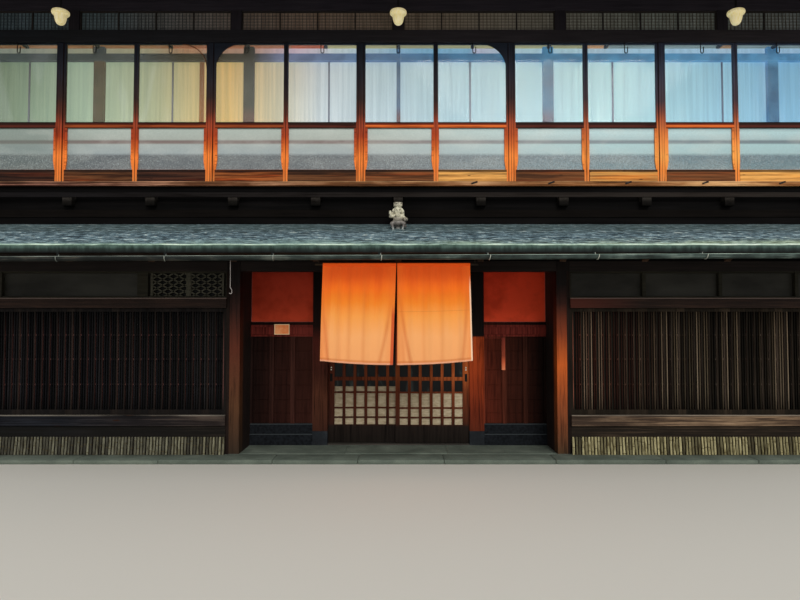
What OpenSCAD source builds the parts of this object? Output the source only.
// Two-storey timber townhouse of a street row, in millimetres.
// The street front faces -Y, +X is to the right seen from the street, and the
// origin is on the ground at the middle of the plan.

/* [Plan] */
// Distance between post centres in one bay
bay = 1970; // [1900:10:2050]
// Bays across the street front
bays_wide = 6; // [6:2:8]
// Bays from the street front to the back
bays_deep = 4; // [3:1:6]
// Width of a structural post and thickness of a party wall
post = 160; // [140:5:180]
// Depth of the entrance recess behind the front wall face
recess = 550; // [450:10:650]

/* [Ground floor heights] */
// Top of the foundation and of the kerb stones
base_top = 50; // [40:5:60]
// Top of the bamboo skirt at the wall foot
skirt_top = 256; // [240:2:270]
// Underside of the sill board below a lattice
sill_low = 385; // [370:5:400]
// Top of the sill board, where a lattice starts
sill_top = 512; // [495:1:530]
// Top of a lattice
lattice_top = 1780; // [1750:5:1800]
// Top of the rail above a lattice
rail_top = 1900; // [1880:5:1920]
// Underside of the lintel
lintel_low = 2220; // [2200:5:2240]
// Top of the lintel
lintel_top = 2340; // [2330:5:2350]

/* [Upper floor heights] */
// Underside of the floor joists
joist_low = 3050; // [3030:5:3070]
// Underside of the upper floor
floor_low = 3150; // [3140:5:3160]
// Top of the upper floor
floor_top = 3240; // [3230:5:3250]
// Top of the gallery sill, where the windows start
window_low = 3293; // [3280:1:3310]
// Top of the wooden kick panel in each sash
kick_top = 3450; // [3430:5:3470]
// Underside of the middle rail in each sash
mid_rail_low = 3960; // [3940:5:3980]
// Top of the middle rail in each sash
mid_rail_top = 4030; // [4015:5:4045]
// Top of the windows
window_top = 5000; // [4980:5:5020]
// Top of the beam above the windows
head_top = 5150; // [5130:5:5170]
// Top of the lattice frieze
frieze_top = 5400; // [5380:5:5420]
// Top of the wall plate that carries the rafters
plate_top = 5590; // [5570:5:5610]

/* [Entrance] */
// Width of the doorway between the door posts
door_w = 1810; // [1750:10:1850]
// Width of a door post
door_post_w = 190; // [170:5:200]
// Height of a door post's foot stone above the foundation
post_stone_h = 175; // [150:5:200]
// Underside of the rail over the sliding doors
door_head = 1870; // [1850:5:1890]
// Underside of the red panels beside the doorway
red_low = 1613; // [1600:1:1630]
// Gap all round each sliding leaf
leaf_gap = 5; // [5:1:8]
// Thickness of a sliding leaf
leaf_t = 33; // [30:1:36]
// How far the two closed leaves overlap
leaf_lap = 76; // [60:1:90]
// Bars in the lattice of one leaf
leaf_bars = 5; // [3:1:7]

/* [Pent roof] */
// Height at which the pent roof meets the wall
pent_top = 2780; // [2770:5:2790]
// How far the pent roof stands out from the wall
pent_out = 930; // [900:10:960]
// Fall of the pent roof for each unit of run
pent_fall = 0.39; // [0.37:0.01:0.41]
// Outer radius of the half-round gutter
gutter_r = 45; // [40:1:50]

/* [Main roof] */
// How far the main eaves stand out from the walls
eave_out = 1000; // [900:10:1100]
// Rise of the main roof for each unit of run
roof_rise = 0.45; // [0.4:0.01:0.5]
// Depth of a rafter
rafter_h = 75; // [60:5:90]
// Thickness of boards, bedding and tiles together
roof_t = 170; // [150:5:190]

/* [Hidden] */
$fn = 48;

// Half the plan, measured to post centres across and to the wall faces in depth
half_w = bay * bays_wide / 2;
half_d = bay * bays_deep / 2;
inner_w = half_w - post / 2;
outer_w = half_w + post / 2;

// Edges of the entrance bay and of the two lattice bays beside it
entry_x = bay - post / 2;
side_x = bay + post / 2;

// Back of the recess, where the doors stand, as a depth behind the wall face
porch_wall_t = 120;
return_t = post / 2;

kerb_out = 330;

// Windows: one pane is a thirteenth of the front, and a post stands after every second pane
panes = 13;
pane_w = 2 * half_w / panes;
window_post_w = 60;
sash_stile = 25;
sash_head = 10;
meeting_stiles = 54;
sash_t = 40;

joist_pitch = bay / 2;
joist_w = 140;
joist_out = 83;

leaf_w = door_w / 2 - leaf_gap + leaf_lap / 2;
leaf_low = base_top + 16 + leaf_gap;
leaf_top = door_head - leaf_gap;
leaf_inner_stile = 55;
leaf_outer_stile = 78;
leaf_bar_w = 37;

noren_out = 700;
noren_w = 795;
noren_flare = 45;
noren_low = 1150;
noren_t = 40;
noren_shift = -16;
rod_z = 2236;
rod_r = 13;

// A block between two x values, two distances out from the wall face and two heights
module front_block(x0, x1, out0, out1, z0, z1) {
    translate([x0, -half_d - out1, z0])
        cube([x1 - x0, out1 - out0, z1 - z0]);
}

// The same thing at the front and turned round to the back
module front_and_back() {
    children();
    rotate([0, 0, 180]) children();
}

// The same thing on the left and, mirrored, on the right
module left_and_right() {
    children();
    mirror([1, 0, 0]) children();
}

// An outline of [distance out, height] points, drawn out along X
module along_front(x0, x1, points) {
    translate([x0, -half_d, 0])
        rotate([90, 0, 90])
            linear_extrude(height = x1 - x0)
                polygon([for (p = points) [-p[0], p[1]]]);
}

// The spans that each wall bay fills: two at the front, three at the back
front_spans = [[-inner_w, -side_x], [side_x, inner_w]];
back_spans = [[-inner_w, -side_x], [-entry_x, entry_x], [side_x, inner_w]];

module foundation() {
    color("#7c8378")
        translate([-outer_w, -half_d, 0])
            cube([2 * outer_w, 2 * half_d, base_top]);
}

module kerb_stones() {
    color("#8a9186") front_block(-outer_w, outer_w, 0, kerb_out, 0, base_top);
}

module post_stones() {
    color("#9a9c98")
        left_and_right()
            front_block(door_w / 2, door_w / 2 + door_post_w, -recess - porch_wall_t, -recess + 14,
                base_top, base_top + post_stone_h);
}

// Party wall: a plain plastered gable wall up to the underside of the roof
module party_wall() {
    gable_y = half_d - post;
    eave_z = plate_top + rafter_h + post * roof_rise;
    top_z = plate_top + rafter_h + half_d * roof_rise;
    translate([inner_w, 0, 0])
        rotate([90, 0, 90])
            linear_extrude(height = post)
                polygon([
                    [-gable_y, base_top], [gable_y, base_top], [gable_y, eave_z],
                    [0, top_z], [-gable_y, eave_z]
                ]);
}

module party_walls() {
    color("#b9ab90") left_and_right() party_wall();
}

// Corner posts run through both storeys, with their tops cut to the slope of the roof
module corner_posts() {
    top_z = plate_top + rafter_h;
    color("#2c1d16")
        front_and_back()
            left_and_right()
                along_front(inner_w, outer_w, [
                    [0, base_top], [0, top_z], [-post, top_z + post * roof_rise], [-post, base_top]
                ]);
}

module ground_posts() {
    color("#5a3018")
        front_and_back()
            left_and_right()
                front_block(entry_x, side_x, -post, 0, base_top, lintel_top);
}

module lintels() {
    color("#2c1d16")
        front_and_back()
            for (span = back_spans)
                front_block(span[0], span[1], -145, -5, lintel_low, lintel_top);
}

// Walls below the lattices
module dado_walls() {
    color("#33241c") {
        for (span = front_spans)
            front_block(span[0], span[1], -140, -40, base_top, sill_top);
        rotate([0, 0, 180])
            for (span = back_spans)
                front_block(span[0], span[1], -140, -40, base_top, sill_top);
    }
}

// Sill board with the dark board below it, standing proud of the wall
module sill_board(span) {
    skirt_z = 250;
    along_front(span[0], span[1], [
        [-40, skirt_z], [12, skirt_z], [12, sill_low], [40, sill_low], [40, sill_top], [-40, sill_top]
    ]);
}

module sill_boards() {
    color("#a8672e") {
        for (span = front_spans) sill_board(span);
        rotate([0, 0, 180])
            for (span = back_spans) sill_board(span);
    }
}

// Bamboo skirt in front of the wall foot, its top tied back a little
module bamboo_skirts() {
    slat_t = 24;
    foot_out = 36;
    top_out = 14;
    color("#b3a25a")
        for (span = front_spans)
            along_front(span[0], span[1], [
                [foot_out, base_top], [foot_out + slat_t, base_top],
                [top_out + slat_t, skirt_top], [top_out, skirt_top]
            ]);
}

// Close-barred lattice: a frame, three cross ties and every third bar
module lattice(span, group) {
    frame_w = 45;
    foot_h = 60;
    deep = 44;
    bar_w = 16;
    bar_deep = 26;
    tie_h = 18;
    face = -5;
    x0 = span[0] + frame_w;
    x1 = span[1] - frame_w;
    bars = round((x1 - x0) / group);
    step = (x1 - x0) / bars;
    front_block(span[0], x0, face - deep, face, sill_top, lattice_top);
    front_block(x1, span[1], face - deep, face, sill_top, lattice_top);
    front_block(span[0], span[1], face - deep, face, sill_top, sill_top + foot_h);
    front_block(span[0], span[1], face - deep, face, lattice_top - frame_w, lattice_top);
    for (tie_z = [860, 1160, 1448])
        front_block(span[0], span[1], face - deep, face - bar_deep + 6, tie_z, tie_z + tie_h);
    for (i = [1 : bars - 1])
        front_block(x0 + i * step - bar_w / 2, x0 + i * step + bar_w / 2,
            face - bar_deep, face, sill_top + foot_h - 4, lattice_top - frame_w + 4);
}

// Spacing of the thick bars, closer at the front than at the back
front_group = 90;
back_group = 150;

module lattice_left() {
    color("#4a2c1c") lattice(front_spans[0], front_group);
}

module lattice_right() {
    color("#4a2c1c") lattice(front_spans[1], front_group);
}

module lattice_back() {
    color("#4a2c1c")
        rotate([0, 0, 180])
            for (span = back_spans) lattice(span, back_group);
}

module lattice_rails() {
    color("#5e3524") {
        for (span = front_spans)
            front_block(span[0], span[1], -100, 30, lattice_top, rail_top);
        rotate([0, 0, 180])
            for (span = back_spans)
                front_block(span[0], span[1], -100, 30, lattice_top, rail_top);
    }
}

module lattice_glass() {
    color("#3a4446") {
        for (span = front_spans)
            front_block(span[0], span[1], -75, -69, sill_top, lattice_top);
        rotate([0, 0, 180])
            for (span = back_spans)
                front_block(span[0], span[1], -75, -69, sill_top, lattice_top);
    }
}

// Transom frame: rails, end stiles, uprights at the given places and a thin panel behind
module transom(span, uprights, upright_w) {
    edge = 22;
    front_block(span[0], span[1], -80, -72, rail_top, lintel_low);
    front_block(span[0], span[1], -72, -20, rail_top, rail_top + edge);
    front_block(span[0], span[1], -72, -20, lintel_low - edge, lintel_low);
    for (x = [span[0], span[1] - edge])
        front_block(x, x + edge, -72, -20, rail_top, lintel_low);
    for (x = uprights)
        front_block(x - upright_w / 2, x + upright_w / 2, -72, -12, rail_top, lintel_low);
}

// Left: uprights this far from each end close off a pair of lattice panels there.
// Right: four panes of equal width, counted from the main post. Back: four equal panes.
transom_pair_w = 1015;
transom_pane_w = 915;
module transoms() {
    left = front_spans[0];
    right = front_spans[1];
    color("#33241c") {
        transom(left, [left[0] + transom_pair_w, left[1] - transom_pair_w], 125);
        transom(right, [for (i = [1 : 3]) right[0] - 20 + i * transom_pane_w], 40);
        rotate([0, 0, 180])
            for (span = back_spans)
                transom(span, [for (i = [1 : 3]) span[0] + i * (span[1] - span[0]) / 4], 40);
    }
}

// Side walls of the entrance recess, from the main posts back to the door wall
module recess_walls() {
    color("#221812")
        left_and_right()
            front_block(entry_x, entry_x + return_t, -recess - porch_wall_t, -post,
                base_top, lintel_top);
}

module recess_ceiling() {
    color("#2c1d16")
        front_block(-entry_x - return_t, entry_x + return_t, -recess - porch_wall_t, -130,
            lintel_top, lintel_top + 30);
}

module door_posts() {
    color("#7a3a1c")
        left_and_right()
            front_block(door_w / 2, door_w / 2 + door_post_w, -recess - porch_wall_t, -recess,
                base_top + post_stone_h, lintel_top);
}

module door_sill() {
    color("#6a6258")
        front_block(-door_w / 2 + 5, door_w / 2 - 5, -recess - porch_wall_t, -recess + 10,
            base_top, base_top + 16);
}

// Rail over the doors with a barred transom above it
module door_transom() {
    rail_h = 80;
    bar_w = 24;
    bar_pitch = 130;
    color("#33241c") {
        front_block(-door_w / 2, door_w / 2, -recess - porch_wall_t, -recess,
            door_head, door_head + rail_h);
        front_block(-door_w / 2, door_w / 2, -recess - porch_wall_t, -recess,
            lintel_top - 50, lintel_top);
        front_block(-door_w / 2, door_w / 2, -recess - 70, -recess - 62,
            door_head + rail_h, lintel_top - 50);
        for (i = [-6 : 6])
            front_block(i * bar_pitch - bar_w / 2, i * bar_pitch + bar_w / 2,
                -recess - 62, -recess - 30, door_head + rail_h, lintel_top - 50);
    }
}

// Boarded wainscot beside the doorway: stone-like base, ledge, stiles, panel and top rail
module entrance_panel() {
    x0 = door_w / 2 + door_post_w;
    x1 = entry_x;
    back = -recess - porch_wall_t + 30;
    front_block(x0, x1, back, -recess + 20, base_top, 190);
    front_block(x0, x1, back, -recess + 8, 190, 318);
    front_block(x0, x1, back, -recess - 30, 318, red_low);
    front_block(x0, x1, back, -recess + 4, 1455, 1548);
    front_block(x0, x1, back, -recess - 18, 1420, red_low);
    for (x = [x0 + 232, x0 + 500])
        front_block(x, x + 56, back, -recess - 10, 318, 1455);
    front_block(x0, x0 + 12, back, -recess - 10, 318, red_low);
    front_block(x1 - 26, x1, back, -recess - 10, 318, red_low);
}

module entrance_panels() {
    color("#4a2a1e") left_and_right() entrance_panel();
}

module red_panels() {
    color("#8a2f1e")
        left_and_right()
            front_block(door_w / 2 + door_post_w, entry_x, -recess - 90, -recess - 28,
                red_low, lintel_top);
}

// Heights of a leaf's bottom board, its slim cross bars and its top rail
leaf_board_top = 300;
leaf_head_low = leaf_top - 70;
leaf_bars_z = [[382, 402], [504, 524], [700, 722], [862, 908]];

// A sliding leaf in its closed place on the right, with its outer stile at the door post
module leaf(track) {
    x1 = door_w / 2 - leaf_gap;
    x0 = x1 - leaf_w;
    in0 = x0 + leaf_inner_stile;
    in1 = x1 - leaf_outer_stile;
    cell = (in1 - in0 - leaf_bars * leaf_bar_w) / (leaf_bars + 1);
    front_block(x0, in0, -track - leaf_t, -track, leaf_low, leaf_top);
    front_block(in1, x1, -track - leaf_t, -track, leaf_low, leaf_top);
    front_block(x0, x1, -track - leaf_t + 3, -track - 4, leaf_low, leaf_board_top);
    front_block(x0, x1, -track - leaf_t + 3, -track - 4, leaf_head_low, leaf_top);
    for (z = leaf_bars_z)
        front_block(in0 - 5, in1 + 5, -track - 20, -track - 5, z[0], z[1]);
    for (i = [1 : leaf_bars]) {
        bar_x = in0 + i * cell + (i - 1) * leaf_bar_w;
        front_block(bar_x, bar_x + leaf_bar_w, -track - 17, -track - 2, leaf_board_top - 5,
            leaf_head_low + 5);
    }
}

// The thin pane of glass and paper that closes the back of a leaf
module leaf_pane(track) {
    x1 = door_w / 2 - leaf_gap;
    front_block(x1 - leaf_w + leaf_inner_stile, x1 - leaf_outer_stile,
        -track - 26, -track - 20, leaf_board_top, leaf_head_low);
}

// Depths of the two tracks behind the wall face; the right leaf runs in front
right_track = recess + 18;
left_track = right_track + leaf_t + 7;

module door_left() {
    color("#7a4426") mirror([1, 0, 0]) leaf(left_track);
}

module door_right() {
    color("#7a4426") leaf(right_track);
}

module door_pane_left() {
    color("#cfc7b2") mirror([1, 0, 0]) leaf_pane(left_track);
}

module door_pane_right() {
    color("#cfc7b2") leaf_pane(right_track);
}

// Round rod under the pent roof with the two hooks that hold it
module noren_rod() {
    rod_half = 885;
    purlin_low = 2330;
    color("#c8935a") {
        translate([-rod_half + noren_shift, -half_d - noren_out, rod_z])
            rotate([0, 90, 0]) cylinder(r = rod_r, h = 2 * rod_half);
        for (side = [-1, 1])
            translate([noren_shift + side * 850, -half_d - noren_out, rod_z])
                cylinder(r = 5, h = purlin_low - rod_z);
    }
}

// One half of the split curtain, wider at the hem, with its slit side at x = 0
module noren_half() {
    top_z = rod_z - rod_r;
    slit = 3;
    translate([0, -half_d - noren_out + noren_t / 2, 0])
        rotate([90, 0, 0])
            linear_extrude(height = noren_t)
                polygon([
                    [slit, top_z], [slit, noren_low],
                    [slit + noren_w + noren_flare, noren_low], [slit + noren_w, top_z]
                ]);
}

module noren_left() {
    color("#f08030") translate([noren_shift, 0, 0]) mirror([1, 0, 0]) noren_half();
}

module noren_right() {
    color("#f08030") translate([noren_shift, 0, 0]) noren_half();
}

// Height of the pent roof's top face at a distance out from the wall
function pent_z(out) = pent_top - pent_fall * out;
pent_t = 45;

module pent_roofs() {
    color("#5f7f86")
        front_and_back()
            along_front(-outer_w, outer_w, [
                [0, pent_z(0) - pent_t], [pent_out, pent_z(pent_out) - pent_t],
                [pent_out, pent_z(pent_out)], [0, pent_z(0)]
            ]);
}

purlin_in = 680;
purlin_out = 780;
module pent_purlins() {
    color("#3a281c")
        front_and_back()
            front_block(-inner_w, inner_w, purlin_in, purlin_out, 2330, pent_z(purlin_out) - pent_t);
}

// Bracket arm with its underside cut up in a curve beside the wall
module pent_arm(x) {
    arm_w = 75;
    top_z = pent_z(purlin_in) - pent_t - 30;
    low_z = top_z - 66;
    heel = 40;
    curve = 190;
    along_front(x - arm_w / 2, x + arm_w / 2, concat(
        [[0, top_z], [purlin_in, top_z], [purlin_in, low_z], [curve, low_z]],
        [for (a = [75 : -15 : 0]) [curve - curve * cos(a), low_z - heel + heel * sin(a)]]
    ));
}

module pent_arms() {
    color("#3a281c")
        front_and_back()
            for (i = [-5 : 5]) pent_arm(i * bay / 2);
}

// Fascia with the flat iron bars on its face that the gutter hangs from
fascia_face = pent_out + 22;
gutter_z = 2300;
bar_t = 5;
module fascia_boards() {
    fascia_low = 2338;
    bar_w = 25;
    bar_low = gutter_z - 12;
    bar_top = 2400;
    bar_pitch = 1122;
    bar_inset = 185;
    color("#48605c")
        front_and_back() {
            front_block(-outer_w, outer_w, pent_out, fascia_face, fascia_low, pent_z(pent_out) + 4);
            for (x = [bar_inset - outer_w : bar_pitch : outer_w - bar_w])
                front_block(x - bar_w / 2, x + bar_w / 2, fascia_face, fascia_face + bar_t,
                    bar_low, bar_top);
        }
}

// Half-round gutter hung in front of the fascia, open upwards, with closed ends
gutter_out = fascia_face + bar_t + gutter_r;
gutter_wall = 4;
module gutters() {
    color("#7f918c")
        front_and_back()
            translate([-outer_w, -half_d - gutter_out, gutter_z])
                rotate([0, 90, 0])
                    difference() {
                        cylinder(r = gutter_r, h = 2 * outer_w);
                        translate([0, 0, gutter_wall])
                            cylinder(r = gutter_r - gutter_wall, h = 2 * (outer_w - gutter_wall));
                        translate([-2 * gutter_r, -2 * gutter_r, -1])
                            cube([2 * gutter_r, 4 * gutter_r, 2 * outer_w + 2]);
                    }
}

// A rounded limb between two points of the roof figure
module limb(a, b, ra, rb) {
    hull() {
        translate(a) sphere(r = ra, $fn = 20);
        translate(b) sphere(r = rb, $fn = 20);
    }
}

// Small glazed clay guardian that stands on the pent roof
figure_out = 235;
module roof_figure() {
    color("#b9b4a6")
        translate([-4, -half_d - figure_out, pent_z(figure_out)]) {
            // Foot plate with its underside on the slope of the roof
            translate([-62, 0, 0])
                rotate([90, 0, 90])
                    linear_extrude(height = 124)
                        polygon([
                            [-50, -50 * pent_fall], [50, 50 * pent_fall],
                            [50, 50 * pent_fall + 8], [-50, 10]
                        ]);
            // Feet and bent legs
            for (side = [-1, 1]) {
                limb([side * 38, -26, 22], [side * 34, 8, 26], 17, 16);
                limb([side * 36, 4, 30], [side * 52, -8, 92], 20, 34);
            }
            // Belly, chest and shoulders
            limb([0, 0, 96], [0, 4, 150], 62, 56);
            limb([-48, 2, 172], [48, 2, 172], 30, 30);
            // Sleeves and hands in front of the body
            for (side = [-1, 1]) {
                limb([side * 66, 0, 168], [side * 84, -14, 122], 28, 24);
                limb([side * 80, -20, 120], [side * 44, -56, 128], 21, 15);
            }
            // Head in its ring of hair and beard
            limb([0, 6, 224], [0, -2, 244], 44, 42);
            limb([0, -8, 206], [0, -4, 196], 34, 22);
            // Flat round cap
            hull() {
                translate([0, 0, 262]) cylinder(r = 47, h = 8, $fn = 24);
                translate([0, 0, 300]) cylinder(r = 34, h = 10, $fn = 24);
            }
            // Short staff in one hand and round fruit in the other
            limb([-44, -64, 88], [-44, -62, 196], 7, 7);
            limb([46, -66, 138], [46, -66, 140], 22, 22);
        }
}

// Boarded walls between the lintels and the upper floor, notched for the joists
module apron_walls() {
    color("#2a1f1a")
        front_and_back()
            difference() {
                front_block(-inner_w, inner_w, -130, 0, lintel_top, floor_low);
                for (i = [-5 : 5])
                    front_block(i * joist_pitch - joist_w / 2, i * joist_pitch + joist_w / 2,
                        -140, 1, joist_low, floor_low + 1);
            }
}

module floor_joists() {
    length = 2 * (half_d + joist_out);
    color("#6b6256")
        for (i = [-5 : 5])
            translate([i * joist_pitch - joist_w / 2, -length / 2, joist_low])
                cube([joist_w, length, floor_low - joist_low]);
}

module upper_floor() {
    color("#2c1d16")
        translate([-inner_w, -half_d, floor_low])
            cube([2 * inner_w, 2 * half_d, floor_top - floor_low]);
}

module gallery_sills() {
    color("#c79a68")
        front_and_back()
            front_block(-inner_w, inner_w, -90, 50, floor_top, window_low);
}

// Places of the joints between panes, counted from the left end wall
function pane_x(i) = -half_w + i * pane_w;

module window_posts() {
    color("#7a3c1c")
        front_and_back()
            for (i = [2 : 2 : panes - 1])
                front_block(pane_x(i) - window_post_w / 2, pane_x(i) + window_post_w / 2,
                    -55, -3, window_low, window_top);
}

// All sashes between two window posts: rails across and stiles at the edges and the middle
module sash_pair(x0, x1, middle) {
    face = -15;
    back = face - sash_t;
    front_block(x0, x1, back, face, window_low, kick_top);
    front_block(x0, x1, back, face, mid_rail_low, mid_rail_top);
    front_block(x0, x1, back, face, window_top - sash_head, window_top);
    front_block(x0, x0 + sash_stile, back, face, window_low, window_top);
    front_block(x1 - sash_stile, x1, back, face, window_low, window_top);
    if (middle)
        front_block((x0 + x1 - meeting_stiles) / 2, (x0 + x1 + meeting_stiles) / 2, back, face,
            window_low, window_top);
}

module window_sashes() {
    color("#a8501f")
        front_and_back()
            for (i = [0 : 2 : panes - 1]) {
                last = i == panes - 1;
                start = i == 0 ? -inner_w : pane_x(i) + window_post_w / 2;
                end = last ? inner_w : pane_x(i + 2) - window_post_w / 2;
                sash_pair(start, end, !last);
            }
}

// One sheet of glass closes the windows of a side, behind their sashes
module window_glass() {
    color("#a9c4d6")
        front_and_back()
            front_block(-inner_w, inner_w, -61, -55, window_low, window_top);
}

// Rounded upper corners of the four middle panes
module window_spandrels() {
    corner_r = 330;
    spandrel_t = 14;
    left_x = pane_x(4) + window_post_w / 2;
    right_x = pane_x(8) - window_post_w / 2;
    color("#3a2014")
        for (corner = [[left_x, 0], [right_x, 1]])
            translate([corner[0], -half_d + 15, window_top])
                mirror([corner[1], 0, 0])
                    rotate([90, 0, 0])
                        linear_extrude(height = spandrel_t)
                            difference() {
                                translate([0, -corner_r]) square(corner_r);
                                translate([corner_r, -corner_r]) circle(r = corner_r);
                            }
}

// Inner side of the glazed gallery: paper screens with a timber frame on their face
screen_face = 700;
screen_t = 30;
ceiling_low = 5237;
module gallery_screens() {
    color("#e8e6dd")
        front_block(-inner_w, inner_w, -screen_face - screen_t, -screen_face, floor_top, ceiling_low);
}

// Screen posts as [bays from the middle, width], and the headers cut to fit between them
module gallery_frame() {
    face = 60 - screen_face;
    posts = [[-2, 135], [-1, 135], [0, 50], [1, 135], [2.5, 135]];
    header_low = 5052;
    header_top = 5145;
    joint_gap = 1;
    last = len(posts);
    color("#5a3018") {
        for (p = posts)
            front_block(p[0] * bay - p[1] / 2, p[0] * bay + p[1] / 2, -screen_face, face,
                floor_top, ceiling_low);
        for (i = [0 : last])
            front_block(i == 0 ? -inner_w : posts[i - 1][0] * bay + posts[i - 1][1] / 2 + joint_gap,
                i == last ? inner_w : posts[i][0] * bay - posts[i][1] / 2 - joint_gap,
                -screen_face, face, header_low, header_top);
    }
}

// Boarded ceiling between the frieze and the screens
module gallery_ceiling() {
    color("#a8612c")
        front_block(-inner_w, inner_w, -screen_face - screen_t, -100, ceiling_low, ceiling_low + 22);
}

module head_beams() {
    color("#2c1d16")
        front_and_back()
            front_block(-inner_w, inner_w, -60, 20, window_top, head_top);
}

frieze_post_w = 125;
module frieze_posts() {
    color("#2c1d16")
        front_and_back()
            for (i = [-2 : 2])
                front_block(i * bay - frieze_post_w / 2, i * bay + frieze_post_w / 2, -100, 0,
                    head_top, frieze_top);
}

// Frieze panels, one in each bay, each divided in four by slim uprights
module frieze_panel(x0, x1) {
    rail = 14;
    front_block(x0, x1, -60, -48, head_top, frieze_top);
    front_block(x0, x1, -48, -22, head_top, head_top + rail);
    front_block(x0, x1, -48, -22, frieze_top - rail, frieze_top);
    for (i = [0 : 4])
        front_block(x0 + i * (x1 - x0 - rail) / 4, x0 + i * (x1 - x0 - rail) / 4 + rail,
            -48, -22, head_top, frieze_top);
}

module frieze_panels() {
    color("#6e6a58")
        front_and_back()
            for (i = [-3 : 2])
                frieze_panel(i == -3 ? -inner_w : i * bay + frieze_post_w / 2,
                    i == 2 ? inner_w : (i + 1) * bay - frieze_post_w / 2);
}

module wall_plates() {
    color("#2c1d16")
        front_and_back()
            front_block(-inner_w, inner_w, -160, 0, frieze_top, plate_top);
}

// Height of the rafters' underside at a distance out from the wall face
function rafter_z(out) = plate_top - roof_rise * out;
ridge_half = 60;

// Opal glass lamp on a stem that is cut to the slope of the rafter above it
lamp_out = 300;
lamp_top = 5240;
module eave_lamp(x) {
    stem_r = 12;
    stem_top = rafter_z(lamp_out - stem_r);
    difference() {
        translate([x, -half_d - lamp_out, 0])
            rotate_extrude()
                polygon([
                    [0, lamp_top - 168], [28, lamp_top - 165], [46, lamp_top - 150],
                    [60, lamp_top - 112], [71, lamp_top - 62], [76, lamp_top - 48],
                    [92, lamp_top - 42], [98, lamp_top - 28], [97, lamp_top - 12],
                    [84, lamp_top], [40, lamp_top + 8], [26, lamp_top + 20],
                    [stem_r, lamp_top + 24], [stem_r, stem_top], [0, stem_top]
                ]);
        along_front(x - 20, x + 20, [
            [lamp_out - 20, rafter_z(lamp_out - 20)], [lamp_out + 20, rafter_z(lamp_out + 20)],
            [lamp_out + 20, stem_top + 20], [lamp_out - 20, stem_top + 20]
        ]);
    }
}

module eave_lamps() {
    color("#e6dcae") for (i = [-1 : 1]) eave_lamp(i * 2 * bay);
}

module rafter(x) {
    rafter_w = 60;
    along_front(x - rafter_w / 2, x + rafter_w / 2, [
        [ridge_half - half_d, rafter_z(ridge_half - half_d)], [eave_out, rafter_z(eave_out)],
        [eave_out, rafter_z(eave_out) + rafter_h],
        [ridge_half - half_d, rafter_z(ridge_half - half_d) + rafter_h]
    ]);
}

module roof_rafters() {
    color("#3a281c")
        front_and_back()
            for (i = [-11 : 11]) rafter(i * bay / 4);
}

module ridge_beam() {
    beam_h = 200;
    color("#3a281c")
        translate([-inner_w, -ridge_half, rafter_z(ridge_half - half_d) + rafter_h - beam_h])
            cube([2 * inner_w, 2 * ridge_half, beam_h]);
}

roof_w = outer_w + 50;
module roof_slope() {
    along_front(-roof_w, roof_w, [
        [-half_d, rafter_z(-half_d) + rafter_h], [eave_out, rafter_z(eave_out) + rafter_h],
        [eave_out, rafter_z(eave_out) + rafter_h + roof_t],
        [-half_d, rafter_z(-half_d) + rafter_h + roof_t]
    ]);
}

module roof_front() {
    color("#5b6064") roof_slope();
}

module roof_back() {
    color("#5b6064") rotate([0, 0, 180]) roof_slope();
}

// Stacked ridge tiles with a round cap
module roof_ridge() {
    base_half = 150;
    cap_r = 105;
    stack_h = 240;
    apex = rafter_z(-half_d) + rafter_h + roof_t;
    color("#4a4f53")
        translate([-roof_w, 0, 0])
            rotate([90, 0, 90])
                linear_extrude(height = 2 * roof_w)
                    union() {
                        polygon([
                            [-base_half, apex - base_half * roof_rise], [0, apex],
                            [base_half, apex - base_half * roof_rise],
                            [cap_r, apex + stack_h], [-cap_r, apex + stack_h]
                        ]);
                        translate([0, apex + stack_h]) circle(r = cap_r);
                    }
}

foundation();
kerb_stones();
post_stones();
party_walls();
corner_posts();
ground_posts();
lintels();
dado_walls();
sill_boards();
bamboo_skirts();
lattice_left();
lattice_right();
lattice_back();
lattice_rails();
lattice_glass();
transoms();
recess_walls();
recess_ceiling();
door_posts();
door_sill();
door_transom();
entrance_panels();
red_panels();
door_left();
door_right();
door_pane_left();
door_pane_right();
noren_rod();
noren_left();
noren_right();
pent_roofs();
pent_purlins();
pent_arms();
fascia_boards();
gutters();
roof_figure();
apron_walls();
floor_joists();
upper_floor();
gallery_sills();
window_posts();
window_sashes();
window_glass();
window_spandrels();
gallery_screens();
gallery_frame();
gallery_ceiling();
head_beams();
frieze_posts();
frieze_panels();
wall_plates();
eave_lamps();
roof_rafters();
ridge_beam();
roof_front();
roof_back();
roof_ridge();
